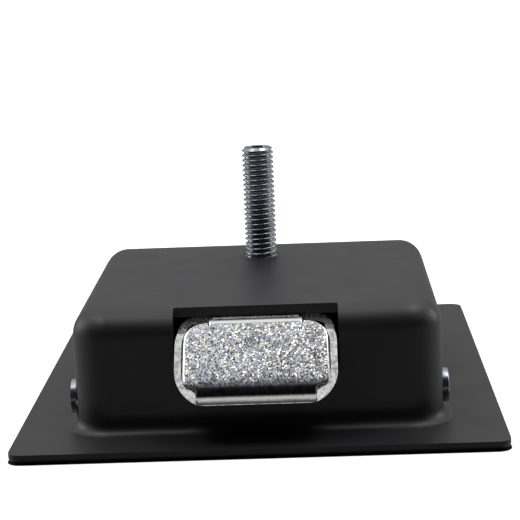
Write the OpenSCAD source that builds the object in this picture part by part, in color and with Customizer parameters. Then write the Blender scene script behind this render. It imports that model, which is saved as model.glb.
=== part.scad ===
// Flush paddle latch with a slam bolt, all sizes in millimetres.
// The latch lies on its face: z = 0 is the front of the flange, +Z points into the door.
// The bolt leaves the dish through a window towards -Y, and the finger pocket is at +Y.

/* [Flange] */
// Width of the flange, across the bolt
flange_w = 110; // [100:1:130]
// Length of the flange, along the bolt
flange_l = 130; // [120:1:150]
// Thickness of the drawn sheet, with its coat
sheet_t = 2.2; // [1.6:0.1:2.6]
// Corner radius of the flange
flange_corner_r = 3; // [2:0.5:8]
// Rounding of the flange's front edge
flange_edge_r = 1.2; // [0.4:0.1:1.4]

/* [Pan] */
// Outer width of the dish across its side walls
pan_w = 83.5; // [80:0.5:90]
// Rim of flange in front of the bolt wall
front_rim = 13; // [10:0.5:16]
// Height of the dish over the front of the flange
pan_h = 30; // [29:0.5:34]
// Outer radius of the upright front corners
corner_r = 8.5; // [7:0.5:9]
// Outer radius of the edge round the top of the dish
top_r = 6; // [4:0.5:6.5]
// Outer radius of the fillet between the wall and the flange
base_r = 2.5; // [1.5:0.5:3]
// Length of the flat top, from the bolt wall to the rounded finger end
flat_l = 72; // [70:1:76]
// Outer radius of the rounded finger end
scoop_r = 25; // [22:0.5:25]

/* [Stud] */
// Major diameter of the stud
stud_d = 8; // [6:0.5:8.5]
// Length of the stud above the dish
stud_l = 28; // [20:1:40]
// Distance of the stud behind the bolt wall
stud_back = 59.5; // [57:0.5:62]
// Diameter of the collar that is pressed through the sheet
stud_collar_d = 8.8; // [8.4:0.1:10]
// Diameter of the stud's head inside the dish
stud_head_d = 12; // [11:0.5:13]
// Thickness of the stud's head
stud_head_t = 2; // [1.5:0.1:2.2]
// Height of the thread's run-out over the raised ring
runout = 0.2; // [0.1:0.1:1]
// Diameter of the raised ring round the stud
ring_d = 13; // [12:0.5:18]
// Height of the raised ring
ring_h = 0.4; // [0.2:0.1:0.8]

/* [Pivot] */
// Diameter of the pivot pin
pin_d = 5; // [4:0.25:5]
// Distance of the pivot behind the bolt wall
pivot_back = 12; // [12:0.25:13]
// Height of the pivot over the front of the flange
pivot_z = 8.2; // [8:0.1:8.3]
// Diameter of the domed rivet heads
rivet_d = 7.2; // [6:0.2:7.2]
// Height of the domed rivet heads
rivet_h = 1.3; // [0.8:0.1:2]
// Outer diameter of the spacer tubes on the pin
spacer_d = 8; // [6.5:0.5:8]

/* [Bolt] */
// Width of the bolt
bolt_w = 35.8; // [32:0.2:36]
// Height of the underside of the bolt
bolt_z = 11.1; // [11:0.1:12]
// Thickness of the bolt's sheet
bolt_t = 1.5; // [1:0.1:1.6]
// Outer radius of the bolt's upper folds
bolt_fold_r = 4.5; // [3:0.25:5]
// Outer radius of the bolt's lower folds
bolt_low_r = 6.5; // [5.5:0.25:6.75]
// How far the nose stands out of the bolt wall
bolt_out = 11; // [10:0.5:11.5]
// Length of the bolt, nose to tail
bolt_l = 49; // [47.5:0.5:50]
// Angle of the ramp from the flange
ramp_angle = 44; // [41:1:46]
// Outer radius of the fold at the nose
nose_r = 2.5; // [2.25:0.25:3]
// Height of the nose fold's axis over the underside of the bolt
lip_h = 2.4; // [2:0.1:2.8]
// Height of the lip's cut edge over the underside of the bolt
lip_up = 0.4; // [0.2:0.1:0.8]
// Outer radius of the fold between the roof and the flap
ridge_r = 2; // [1.75:0.25:3]
// Distance from the middle to the relief notches at the ends of that fold
relief_x = 10; // [8:0.5:10.5]
// Width of the relief notches
relief_w = 0.8; // [0.5:0.1:1.2]
// How far back the side walls start behind the nose
side_back = 4.3; // [3.5:0.1:5]
// Angle of the cut behind the flap's upper corners
corner_angle = 70; // [60:1:80]
// Height of the tabs that close the lower front corners
tab_h = 8; // [7:0.25:8.5]
// Width of the ramp flap
flap_w = 32.2; // [30:0.2:32.4]
// Width of the nose fold and its lip, between the notches
neck_w = 26.4; // [22:0.2:27]
// Inner radius of the notches beside the neck
notch_r = 1.1; // [0.6:0.1:1.8]
// Outer radius of the flap's lower corners
notch_edge_r = 1; // [0.4:0.1:1.2]
// Corner radius of the top of the flap
flap_r = 4.5; // [2:0.25:6]
// Seam along the underside where the two folded edges meet
seam = 0.3; // [0.2:0.1:1]

/* [Paddle] */
// Thickness of the paddle and of the yoke's sheet
paddle_t = 1.5; // [1.2:0.1:1.8]
// Depth of the paddle's face behind the flange's face
paddle_inset = 0.8; // [0.6:0.1:1]
// Gap between the paddle and the side walls of the dish
paddle_gap = 1.5; // [1.5:0.1:3]
// Reach of the paddle behind the pivot
paddle_reach = 64; // [58:1:65]
// Height of the paddle's turned-in rim
rim_h = 5.5; // [4.5:0.5:7]
// Outer radius of the rim's fold
rim_r = 2.5; // [2:0.25:3]
// Corner radius of the paddle
paddle_corner_r = 7; // [5:0.5:10]

/* [Yoke] */
// Gap between the bolt's sides and the yoke
yoke_gap = 2.1; // [2:0.1:3]
// Forward lean of the fingers at rest
finger_lean = 16; // [14:1:17]
// Length of the fingers from the pivot
finger_l = 16.5; // [16:0.25:17]
// Length of the yoke's base plate
yoke_base_l = 22; // [16:1:30]

/* [Drive pin] */
// Diameter of the pin that the fingers push
drive_d = 4.5; // [3.5:0.25:4.5]
// Height of the drive pin over the underside of the bolt
drive_up = 9.4; // [9:0.1:9.5]
// Outer diameter of the retaining rings
clip_d = 9; // [7.5:0.5:10]
// Thickness of the retaining rings
clip_t = 0.9; // [0.6:0.1:1]

/* [Spring] */
// Diameter of the guide rod
rod_d = 5; // [4:0.25:5.5]
// Depth of the rod's axis under the roof of the dish
rod_down = 9.3; // [9:0.1:9.6]
// Reach of the rod past the bracket into the bolt
rod_l = 36; // [34:0.5:37]
// Thickness of the spring bracket
bracket_t = 1.5; // [1.2:0.1:1.8]
// Width of the spring bracket
bracket_w = 18; // [14:1:24]
// Distance from the stud to the bracket's upright leaf
bracket_back = 7.2; // [7:0.1:7.4]
// Wire diameter of the bolt spring
wire_d = 1.2; // [0.8:0.1:1.3]
// Number of turns of the bolt spring
turns = 7.5; // [5:0.5:9]

/* [Clearances] */
// Radial room of a pin in the hole that it turns or slides in
running_fit = 0.05; // [0.02:0.01:0.1]
// Radial room of a pin in the hole that it is fixed in
fixed_fit = 0.02; // [0.01:0.01:0.05]
// Room between faces that move past each other
slide_gap = 0.4; // [0.3:0.05:0.6]
// Room of the bolt in its window
window_gap = 0.5; // [0.4:0.05:0.8]
// How far the window reaches into the flat top
window_reach = 5; // [4.8:0.1:7]
// Corner radius of the window in the flat top
window_r = 0.6; // [0.4:0.1:1.5]

/* [Hidden] */
$fn = 64;
tiny = 0.01;
fold_swell = 0.02;
wire_sides = 8;
steps_a_turn = 16;

// Planes of the dish
half_w = pan_w / 2;
wall_y = front_rim - flange_l / 2;
scoop_y = wall_y + flat_l;
scoop_z = pan_h - scoop_r;
back_y = scoop_y + scoop_r;
inner_top = pan_h - sheet_t;
inner_wall_y = wall_y + sheet_t;
inner_half_w = half_w - sheet_t;

// Axes
stud_y = wall_y + stud_back;
pivot_y = wall_y + pivot_back;
rod_z = inner_top - rod_down;
drive_z = bolt_z + drive_up;

// Bolt
nose_y = wall_y - bolt_out;
tail_y = nose_y + bolt_l;
bolt_top = inner_top - slide_gap;
bolt_h = bolt_top - bolt_z;
nose_axis_y = nose_y + nose_r;
nose_axis_z = bolt_z + lip_h;
lip_gap = 0.3;
ridge_z = bolt_top - ridge_r;
ridge_y = nose_axis_y + ((ridge_z - nose_axis_z) * cos(ramp_angle) - nose_r + ridge_r) / sin(ramp_angle);
flap_top = (ridge_y - nose_axis_y) * cos(ramp_angle) + (ridge_z - nose_axis_z) * sin(ramp_angle);
flap_l = round(100 * flap_top) / 100 + 5 * fold_swell;
corner_y = ridge_y + (ridge_r * (1 - cos(ramp_angle)) + bolt_t - ridge_r + lip_gap) / sin(ramp_angle)
    + ridge_r / tan(ramp_angle);

// Paddle and yoke
paddle_half_w = inner_half_w - paddle_gap;
paddle_end_y = pivot_y + paddle_reach;
knuckle_r = pivot_z - paddle_inset;
knuckle_end = 32;
yoke_z = paddle_inset + paddle_t;
yoke_half_w = bolt_w / 2 + yoke_gap + paddle_t;
base_down = pivot_z - yoke_z;
hub_r = base_down - slide_gap;
finger_back = 1;
finger_front = (pivot_back - sheet_t - 0.25 - finger_l * sin(finger_lean)) / cos(finger_lean);

// The drive pin waits just behind the leaning fingers
drive_h = drive_z - pivot_z;
drive_y = pivot_y - drive_h * tan(finger_lean) + (finger_back + drive_d / 2) / cos(finger_lean) + slide_gap;
clip_x = bolt_w / 2 + slide_gap / 2;
drive_half_l = yoke_half_w + 1.2;

// Bracket
leaf_y = stud_y + bracket_back;
leaf_front = stud_y - stud_head_d / 2 - 0.5;
leaf_bottom = rod_z - bracket_w / 3;

// Extrudes a profile drawn in Y and Z along X, about the middle
module along_x(length) {
    rotate([90, 0, 90]) linear_extrude(height = length, center = true) children();
}

// Extrudes a profile drawn in X and Z along Y, from one Y to another
module along_y(from, to) {
    translate([0, to, 0]) rotate([90, 0, 0]) linear_extrude(height = to - from) children();
}

// Rectangle about the origin with true round corners
module round_rect(w, l, r) {
    square([w - 2 * r, l], center = true);
    square([w, l - 2 * r], center = true);
    for (x = [-1, 1], y = [-1, 1]) translate([x * (w / 2 - r), y * (l / 2 - r)]) circle(r);
}

// Quarter of a disc, in the first quadrant
module quarter(r) {
    intersection() {
        circle(r);
        square(r);
    }
}

// Quarter of a ring, in the first quadrant
module quarter_ring(r, t) {
    difference() {
        quarter(r);
        circle(r - t);
    }
}

// How far a fold runs on into the plates beside it
function fold_lap(r) = 1.4 * sqrt(2 * r * fold_swell);

// Section of sheet round a fold, swelled a little so that it runs on into those plates
module fold_ring(r, t) {
    difference() {
        circle(r + fold_swell);
        circle(r - t + 5 * fold_swell);
    }
}

// Profile of a wall that is round at its upper outer edge, from the axis out to a reach
module wall_profile(reach, r, top) {
    square([reach - r, top]);
    square([reach, top - r]);
    translate([reach - r, top - r]) quarter(r);
}

// Sweeps a profile round the foot of the dish; the profile's zero is the wall's outer face
module round_foot() {
    side_l = back_y - top_r - wall_y - corner_r;
    for (s = [-1, 1]) {
        translate([s * (half_w - corner_r), wall_y + corner_r, 0])
            rotate([0, 0, s > 0 ? -90 : 180]) rotate_extrude(angle = 90) translate([corner_r, 0]) children();
        translate([s * (half_w - top_r), back_y - top_r, 0])
            rotate([0, 0, s > 0 ? 0 : 90]) rotate_extrude(angle = 90) translate([top_r, 0]) children();
        translate([s * half_w, 0, 0]) mirror([s > 0 ? 0 : 1, 0, 0])
            along_y(wall_y + corner_r, wall_y + corner_r + side_l) children();
    }
    translate([0, back_y, 0]) along_x(pan_w - 2 * top_r) children();
    translate([0, wall_y, 0]) mirror([0, 1, 0]) along_x(pan_w - 2 * corner_r) children();
}

// Solid of the dish, drawn in by the sheet for its hollow
module dish(inset, bottom) {
    w = half_w - inset;
    front = wall_y + inset;
    top = pan_h - inset;
    upright_r = corner_r - inset;
    edge_r = top_r - inset;
    end_r = scoop_r - inset;
    translate([0, 0, bottom]) {
        for (s = [-1, 1]) translate([s * (w - upright_r), front + upright_r, 0])
            rotate([0, 0, s > 0 ? -90 : 180]) rotate_extrude(angle = 90)
                wall_profile(upright_r, edge_r, top - bottom);
        translate([0, front + upright_r, 0]) mirror([0, 1, 0]) along_x(2 * (w - upright_r))
            wall_profile(upright_r, edge_r, top - bottom);
        along_y(front + upright_r, scoop_y) for (s = [0, 1]) mirror([s, 0])
            wall_profile(w, edge_r, top - bottom);
    }
    translate([0, scoop_y, scoop_z]) rotate([0, -90, 0])
        rotate_extrude(angle = 90) for (s = [0, 1]) mirror([0, s]) end_profile(end_r, w, edge_r);
    translate([0, scoop_y, bottom]) linear_extrude(height = scoop_z - bottom) {
        for (s = [0, 1]) mirror([s, 0]) rotate([0, 0, 90]) mirror([0, 1]) end_profile(end_r, w, edge_r);
    }
}

// Half section of the rounded finger end: out to the end's radius, half the dish wide
module end_profile(reach, w, r) {
    square([reach - r, w]);
    square([reach, w - r]);
    translate([reach - r, w - r]) quarter(r);
}

// Flange plate with a round front edge
module flange() {
    e = flange_edge_r;
    r = flange_corner_r;
    translate([0, 0, e]) linear_extrude(height = sheet_t - e) round_rect(flange_w, flange_l, r);
    linear_extrude(height = e) round_rect(flange_w - 2 * e, flange_l - 2 * e, r - e);
    for (s = [-1, 1]) {
        translate([0, s * (flange_l / 2 - e), e]) rotate([0, 90, 0])
            cylinder(r = e, h = flange_w - 2 * r, center = true);
        translate([s * (flange_w / 2 - e), 0, e]) rotate([90, 0, 0])
            cylinder(r = e, h = flange_l - 2 * r, center = true);
    }
    for (x = [-1, 1], y = [-1, 1]) translate([x * (flange_w / 2 - r), y * (flange_l / 2 - r), e])
        rotate_extrude() translate([r - e, 0]) circle(e);
}

// Cut of the bolt window, open into the flat top
module window_cut() {
    w = bolt_w + 2 * window_gap;
    bottom = bolt_z - window_gap;
    r = bolt_low_r + window_gap;
    intersection() {
        along_y(wall_y - base_r, wall_y + window_reach + 1) {
            translate([-w / 2, bottom + r]) square([w, pan_h + 1 - bottom - r]);
            translate([-w / 2 + r, bottom]) square([w - 2 * r, r + tiny]);
            for (s = [-1, 1]) translate([s * (w / 2 - r), bottom + r]) circle(r);
        }
        translate([0, wall_y + window_reach - pan_w / 2, 0]) linear_extrude(height = 2 * pan_h)
            round_rect(w, pan_w, window_r);
    }
}

module pan() {
    color("#2a2b2d") difference() {
        union() {
            flange();
            dish(0, sheet_t / 2);
            round_foot() difference() {
                translate([-sheet_t / 2, sheet_t / 2]) square([base_r + sheet_t / 2, base_r + sheet_t / 2]);
                translate([base_r, sheet_t + base_r]) circle(base_r);
            }
            // Sheet drawn up a little round the stud
            translate([0, stud_y, pan_h - ring_h])
                cylinder(d1 = ring_d + 6 * ring_h, d2 = ring_d - 6 * ring_h, h = 2 * ring_h);
        }
        dish(sheet_t, -1);
        round_foot() difference() {
            translate([-sheet_t - tiny, -1]) square([base_r + sheet_t + tiny, base_r + sheet_t + 1]);
            translate([base_r, sheet_t + base_r]) circle(base_r + sheet_t);
        }
        window_cut();
        translate([0, stud_y, 0]) cylinder(r = stud_collar_d / 2 + fixed_fit, h = pan_h + ring_h + 1);
        translate([0, pivot_y, pivot_z]) rotate([0, 90, 0])
            cylinder(r = pin_d / 2 + fixed_fit, h = flange_w, center = true);
    }
}

module stud() {
    chamfer = stud_d / 8;
    head_top = inner_top - bracket_t;
    color("#c9ccd0") translate([0, stud_y, 0]) {
        translate([0, 0, head_top - stud_head_t]) cylinder(d = stud_head_d, h = stud_head_t);
        translate([0, 0, head_top - tiny]) cylinder(d = stud_collar_d, h = pan_h - head_top + tiny);
        translate([0, 0, pan_h - tiny]) cylinder(d = stud_d - 2 * chamfer, h = ring_h + runout + 2 * tiny);
        translate([0, 0, pan_h + ring_h + runout])
            cylinder(d = stud_d, h = stud_l - chamfer - ring_h - runout);
        translate([0, 0, pan_h + stud_l - chamfer])
            cylinder(d1 = stud_d, d2 = stud_d - 2 * chamfer, h = chamfer);
    }
}

// Domed rivet head, standing on its flat side
module rivet_head() {
    ball_r = (pow(rivet_d / 2, 2) + pow(rivet_h, 2)) / (2 * rivet_h);
    rotate_extrude() intersection() {
        translate([0, rivet_h - ball_r]) circle(ball_r);
        square([rivet_d, rivet_h]);
    }
}

module pivot_pin() {
    color("#c9ccd0") translate([0, pivot_y, pivot_z]) rotate([0, 90, 0]) {
        cylinder(d = pin_d, h = pan_w + 2 * tiny, center = true);
        for (s = [0, 1]) mirror([0, 0, s]) translate([0, 0, half_w]) rivet_head();
    }
}

// Spacer tube between the yoke and one side wall
module spacer(side) {
    from = yoke_half_w + slide_gap;
    to = inner_half_w - slide_gap / 2;
    color("#c9ccd0") translate([side * (from + to) / 2, pivot_y, pivot_z]) rotate([0, 90, 0]) difference() {
        cylinder(d = spacer_d, h = to - from, center = true);
        cylinder(r = pin_d / 2 + running_fit, h = to - from + 1, center = true);
    }
}

module spring_bracket() {
    r = 2 * bracket_t;
    color("#c9ccd0") difference() {
        along_x(bracket_w) {
            translate([leaf_front, inner_top - bracket_t])
                square([leaf_y + bracket_t - r - leaf_front, bracket_t]);
            translate([leaf_y, leaf_bottom]) square([bracket_t, inner_top - r - leaf_bottom]);
            translate([leaf_y + bracket_t - r, inner_top - r]) quarter_ring(r, bracket_t);
        }
        translate([0, stud_y, 0]) cylinder(r = stud_collar_d / 2 + fixed_fit, h = pan_h);
        translate([0, leaf_y, rod_z]) rotate([90, 0, 0])
            cylinder(r = rod_d / 2 + fixed_fit, h = 4 * bracket_t, center = true);
    }
}

module guide_rod() {
    chamfer = rod_d / 8;
    head_h = 1.2;
    color("#c9ccd0") translate([0, leaf_y + bracket_t + head_h, rod_z]) rotate([90, 0, 0]) {
        cylinder(d = rod_d + 2.4, h = head_h);
        cylinder(d = rod_d, h = head_h + bracket_t + rod_l - chamfer);
        translate([0, 0, head_h + bracket_t + rod_l - chamfer])
            cylinder(d1 = rod_d, d2 = rod_d - 2 * chamfer, h = chamfer);
    }
}

// Ring of points round the wire at one step of the coil, flattened to the radial plane
function wire_ring(mean_r, y, angle) = [for (i = [0 : wire_sides - 1])
    let (a = 360 * i / wire_sides, r = mean_r + wire_d / 2 * cos(a))
    [r * cos(angle), y + wire_d / 2 * sin(a), r * sin(angle)]];

// Y of the coil at a share of its length, with a closed turn at each end
function coil_y(share, length) =
    let (dead = 1 / turns, pitch_share = (share - dead) / (1 - 2 * dead), run = length - 2 * wire_d)
    share < dead ? wire_d * share / dead :
    share > 1 - dead ? length - wire_d * (1 - share) / dead :
    wire_d + run * pitch_share;

module bolt_spring() {
    mean_r = rod_d / 2 + 2 * running_fit + wire_d;
    length = leaf_y - tail_y - wire_d - slide_gap;
    steps = round(turns * steps_a_turn);
    rings = [for (k = [0 : steps]) wire_ring(mean_r, coil_y(k / steps, length), 360 * turns * k / steps)];
    points = [for (ring = rings) each ring];
    sides = [for (k = [0 : steps - 1], i = [0 : wire_sides - 1])
        let (a = k * wire_sides + i, b = k * wire_sides + (i + 1) % wire_sides)
        [a, b, b + wire_sides, a + wire_sides]];
    first = [for (i = [wire_sides - 1 : -1 : 0]) i];
    last = [for (i = [0 : wire_sides - 1]) steps * wire_sides + i];
    color("#b9bcc0") translate([0, tail_y + wire_d / 2 + slide_gap / 2, rod_z])
        polyhedron(points = points, faces = concat(sides, [first, last]), convexity = 10);
}

// Section of the paddle's turned-in rim, drawn out from the start of its fold
module rim_profile() {
    translate([-rim_r / 5, 0]) square([rim_r / 5, paddle_t]);
    translate([0, rim_r]) mirror([0, 1]) quarter_ring(rim_r, paddle_t);
    translate([rim_r - paddle_t, rim_r]) square([paddle_t, rim_h - rim_r]);
}

module paddle() {
    r = paddle_corner_r;
    rim_start = pivot_y + spacer_d / 2 + 2;
    flat_half = paddle_half_w - rim_r;
    flat_end = paddle_end_y - rim_r;
    turn = r - rim_r;
    lap = fold_lap(knuckle_r);
    color("#2a2b2d") {
        translate([0, 0, paddle_inset]) {
            linear_extrude(height = paddle_t) {
                translate([-flat_half, pivot_y]) square([2 * flat_half, flat_end - turn - pivot_y]);
                translate([-flat_half + turn, pivot_y]) square([2 * (flat_half - turn), flat_end - pivot_y]);
                for (s = [-1, 1]) translate([s * (flat_half - turn), flat_end - turn]) circle(turn);
            }
            for (s = [-1, 1]) {
                translate([s * (paddle_half_w - r), paddle_end_y - r, 0]) rotate([0, 0, s > 0 ? 0 : 90])
                    rotate_extrude(angle = 90) translate([turn, 0]) rim_profile();
                translate([s * flat_half, 0, 0]) mirror([s > 0 ? 0 : 1, 0, 0])
                    along_y(rim_start, paddle_end_y - r) rim_profile();
            }
            translate([0, flat_end, 0]) along_x(2 * (flat_half - turn)) rim_profile();
        }
        translate([0, pivot_y, pivot_z]) along_x(2 * (paddle_half_w - r)) intersection() {
            fold_ring(knuckle_r, paddle_t);
            polygon([[0, 0], [lap, 0], [lap, -2 * knuckle_r], [-2 * knuckle_r, -2 * knuckle_r],
                [-2 * knuckle_r, -2 * knuckle_r * tan(knuckle_end)]]);
        }
    }
}

// Side outline of one finger, drawn in Y and Z about the pivot
module finger_outline() {
    w = finger_front + finger_back;
    tip_r = 1;
    rotate(finger_lean) translate([-finger_front, 0]) {
        square([w, finger_l - tip_r]);
        translate([tip_r, 0]) square([w - 2 * tip_r, finger_l]);
        for (x = [tip_r, w - tip_r]) translate([x, finger_l - tip_r]) circle(tip_r);
    }
}

// Side outline of the yoke's base and the gusset that rises to the hub
module gusset_outline() {
    polygon([[0, -base_down], [0, hub_r / 2], [hub_r / 2, hub_r / 2],
        [yoke_base_l, -base_down + paddle_t + rim_r], [yoke_base_l, -base_down]]);
}

// Folded channel that the yoke is cut from, drawn in X and Z
module yoke_channel() {
    r = rim_r;
    straight = yoke_half_w - r;
    translate([-straight, yoke_z]) square([2 * straight, paddle_t]);
    for (s = [0, 1]) mirror([s, 0]) {
        translate([straight, yoke_z + r]) mirror([0, 1]) quarter_ring(r, paddle_t);
        translate([yoke_half_w - paddle_t, yoke_z + r]) square([paddle_t, pan_h]);
    }
}

module yoke() {
    color("#c9ccd0") difference() {
        intersection() {
            translate([0, pivot_y, pivot_z]) union() {
                along_x(2 * yoke_half_w) circle(hub_r);
                along_x(2 * yoke_half_w) finger_outline();
                along_x(2 * yoke_half_w) gusset_outline();
            }
            along_y(pivot_y - pivot_back, pivot_y + yoke_base_l + 1) yoke_channel();
        }
        translate([0, pivot_y, pivot_z]) rotate([0, 90, 0])
            cylinder(r = pin_d / 2 + running_fit, h = 3 * yoke_half_w, center = true);
    }
}

// Section of the folded tube, drawn in by the sheet for its hollow
module tube_outline(inset) {
    w = bolt_w - 2 * inset;
    h = bolt_h - 2 * inset;
    low = bolt_low_r - inset;
    up = bolt_fold_r - inset;
    translate([-w / 2, low - h / 2]) square([w, h - low - up]);
    translate([low - w / 2, -h / 2]) square([w - 2 * low, h / 2]);
    translate([up - w / 2, 0]) square([w - 2 * up, h / 2]);
    for (s = [-1, 1]) {
        translate([s * (w / 2 - low), low - h / 2]) circle(low);
        translate([s * (w / 2 - up), h / 2 - up]) circle(up);
    }
}

// Places a piece in the flap's own frame: x across, y up the ramp, z out of its face
module on_ramp() {
    translate([0, nose_axis_y, nose_axis_z]) rotate([ramp_angle, 0, 0]) children();
}

// Flap with its round upper corners and the reliefs beside its fold, in its own plane
module flap_outline() {
    half = flap_w / 2;
    difference() {
        union() {
            translate([flap_r - half, 0]) square([flap_w - 2 * flap_r, flap_l]);
            translate([-half, 0]) square([flap_w, flap_l - flap_r]);
            for (s = [-1, 1]) translate([s * (half - flap_r), flap_l - flap_r]) circle(flap_r);
        }
        for (s = [-1, 1]) translate([s * relief_x, flap_l - relief_w]) {
            circle(d = relief_w);
            translate([-relief_w / 2, 0]) square([relief_w, 2 * relief_w]);
        }
    }
}

// Notch at one side of the nose, below the flap, in the flap's own plane
module notch_outline() {
    half = flap_w / 2;
    inner = neck_w / 2;
    depth = 4 * nose_r;
    translate([inner + notch_r, -depth]) square([half, depth]);
    translate([inner, -depth]) square([2 * notch_r, depth - notch_r]);
    translate([inner + notch_r, -notch_r]) circle(notch_r);
    translate([half - notch_edge_r, 0]) difference() {
        translate([0, -notch_r]) square([2 * notch_edge_r, notch_edge_r + notch_r]);
        translate([0, notch_edge_r]) circle(notch_edge_r);
    }
}

// Tube of the bolt, open at the front where the flap closes it
module bolt_tube() {
    front = nose_y + bolt_t + lip_gap;
    side = nose_y + side_back;
    difference() {
        intersection() {
            union() {
                along_y(nose_y, tail_y) translate([0, (bolt_z + bolt_top) / 2]) difference() {
                    tube_outline(0);
                    tube_outline(bolt_t);
                    translate([-seam / 2, -bolt_h]) square([seam, bolt_h]);
                }
                // Tabs folded in to close the lower front corners
                difference() {
                    along_y(nose_y, side + bolt_t) intersection() {
                        translate([0, (bolt_z + bolt_top) / 2]) tube_outline(bolt_t / 2);
                        for (s = [-1, 1]) translate([s * bolt_w / 2, bolt_z])
                            polygon([[0, 0], [-s * tab_h, 0], [0, tab_h]]);
                    }
                    on_ramp() translate([-bolt_w, -bolt_l, nose_r - bolt_t - lip_gap])
                        cube([2 * bolt_w, 2 * bolt_l, bolt_l]);
                }
            }
            linear_extrude(height = pan_h) {
                polygon([[-neck_w / 2, front], [neck_w / 2, front], [bolt_w / 2, side],
                    [-bolt_w / 2, side]]);
                translate([-bolt_w, side]) square([2 * bolt_w, bolt_l]);
            }
        }
        // Walls end flush with the ramp
        on_ramp() translate([-bolt_w, -bolt_l, nose_r]) cube([2 * bolt_w, 2 * bolt_l, bolt_l]);
        // Roof ends at its fold
        translate([-relief_x, nose_y, ridge_z]) cube([2 * relief_x, ridge_y - nose_y, bolt_h]);
        // Upper corners end behind the flap
        intersection() {
            translate([-bolt_w, corner_y, bolt_top]) rotate([corner_angle, 0, 0])
                translate([0, -bolt_l, 0]) cube([2 * bolt_w, 2 * bolt_l, bolt_l]);
            for (s = [0, 1]) mirror([s, 0, 0])
                translate([relief_x - relief_w / 2, nose_y, ridge_z - lip_gap])
                        cube([bolt_w, bolt_l, bolt_h]);
        }
    }
}

module bolt() {
    lap = fold_lap(nose_r);
    ridge_lap = fold_lap(ridge_r);
    reach = 2 * nose_r;
    out = [-sin(ramp_angle), cos(ramp_angle)];
    up = [cos(ramp_angle), sin(ramp_angle)];
    color("#d3d6da") difference() {
        union() {
            bolt_tube();
            difference() {
                union() {
                    on_ramp() translate([0, 0, nose_r - bolt_t])
                        linear_extrude(height = bolt_t) flap_outline();
                    // Nose fold, from the flap down to the upright lip
                    translate([0, nose_axis_y, nose_axis_z]) along_x(flap_w - 5 * fold_swell)
                        intersection() {
                            fold_ring(nose_r, bolt_t);
                            polygon([lap * up, lap * up + reach * out, [-reach, reach], [-reach, -lap],
                                [0, -lap]]);
                        }
                    translate([-flap_w / 2, nose_y, bolt_z + lip_up])
                        cube([flap_w, bolt_t, lip_h - lip_up]);
                }
                on_ramp() for (s = [0, 1]) mirror([s, 0, 0]) translate([0, 0, -bolt_l])
                    linear_extrude(height = 2 * bolt_l) notch_outline();
            }
            // Ridge fold, from the roof down to the flap
            translate([0, ridge_y, ridge_z]) along_x(2 * relief_x - 2 * relief_w) intersection() {
                fold_ring(ridge_r, bolt_t);
                polygon([[ridge_lap, 0], [ridge_lap, reach], reach * out + [0, reach],
                    reach * out - ridge_lap * up, -ridge_lap * up]);
            }
            // Tail wall, folded down from the roof
            along_y(tail_y - bolt_t, tail_y) translate([0, (bolt_z + bolt_top) / 2])
                square([bolt_w - 2 * bolt_fold_r - 1, bolt_h - bolt_t], center = true);
        }
        translate([0, tail_y, rod_z]) rotate([90, 0, 0])
            cylinder(r = rod_d / 2 + running_fit, h = 4 * bolt_t, center = true);
        translate([0, drive_y, drive_z]) rotate([0, 90, 0])
            cylinder(r = drive_d / 2 + fixed_fit, h = 2 * bolt_w, center = true);
    }
}

module drive_pin() {
    groove_r = drive_d / 2 - clip_t / 2;
    color("#c9ccd0") translate([0, drive_y, drive_z]) rotate([0, 90, 0]) difference() {
        cylinder(d = drive_d, h = 2 * drive_half_l, center = true);
        for (s = [-1, 1]) translate([0, 0, s * (clip_x + clip_t / 2)]) difference() {
            cylinder(d = 2 * drive_d, h = clip_t + 2 * fixed_fit, center = true);
            cylinder(r = groove_r, h = clip_t + 1, center = true);
        }
    }
}

// Retaining ring on one side of the bolt
module clip(side) {
    groove_r = drive_d / 2 - clip_t / 2;
    mouth = groove_r * 1.6;
    x = side * (clip_x + clip_t / 2);
    color("#6d7074") translate([x, drive_y, drive_z]) rotate([0, 90, 0]) difference() {
        cylinder(d = clip_d, h = clip_t, center = true);
        cylinder(r = groove_r + fixed_fit, h = 2 * clip_t, center = true);
        translate([0, -mouth / 2, -clip_t]) cube([clip_d, mouth, 2 * clip_t]);
    }
}

pan();
stud();
pivot_pin();
spacer(-1);  // spacer_left
spacer(1);  // spacer_right
spring_bracket();
guide_rod();
bolt_spring();
paddle();
yoke();
bolt();
drive_pin();
clip(-1);  // clip_left
clip(1);  // clip_right
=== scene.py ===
"""Flush paddle latch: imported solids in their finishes, with rolled thread, wound spring and eased edges."""

import logging
import math
from abc import ABC, abstractmethod
from contextlib import contextmanager
from dataclasses import dataclass
from enum import Enum
from typing import Any, Callable, Iterator

import bmesh
import bpy
from bpy.types import ColorRamp, Material, Node, NodeSocket, NodeTree, Object
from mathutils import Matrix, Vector


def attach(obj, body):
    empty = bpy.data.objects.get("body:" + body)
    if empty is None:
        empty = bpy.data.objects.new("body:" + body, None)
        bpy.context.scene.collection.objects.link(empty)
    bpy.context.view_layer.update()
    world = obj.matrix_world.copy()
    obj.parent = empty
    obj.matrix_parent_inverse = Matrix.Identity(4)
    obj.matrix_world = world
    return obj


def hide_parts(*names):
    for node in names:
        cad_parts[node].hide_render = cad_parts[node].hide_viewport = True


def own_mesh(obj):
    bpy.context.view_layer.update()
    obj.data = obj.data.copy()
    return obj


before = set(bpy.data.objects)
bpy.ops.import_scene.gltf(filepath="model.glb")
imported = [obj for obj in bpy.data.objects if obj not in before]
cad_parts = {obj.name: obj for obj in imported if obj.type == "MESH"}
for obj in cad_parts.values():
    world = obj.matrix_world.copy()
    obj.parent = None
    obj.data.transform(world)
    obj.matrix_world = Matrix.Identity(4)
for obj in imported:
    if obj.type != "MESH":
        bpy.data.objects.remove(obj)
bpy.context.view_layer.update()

LOG = logging.getLogger("flush_latch")
MM = 0.001  # one millimetre in metres
TOUCH = 1e-6  # metres within which two places are the same
CUT = 1e-7  # metres within which a corner is on a cut or a fold line
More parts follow.
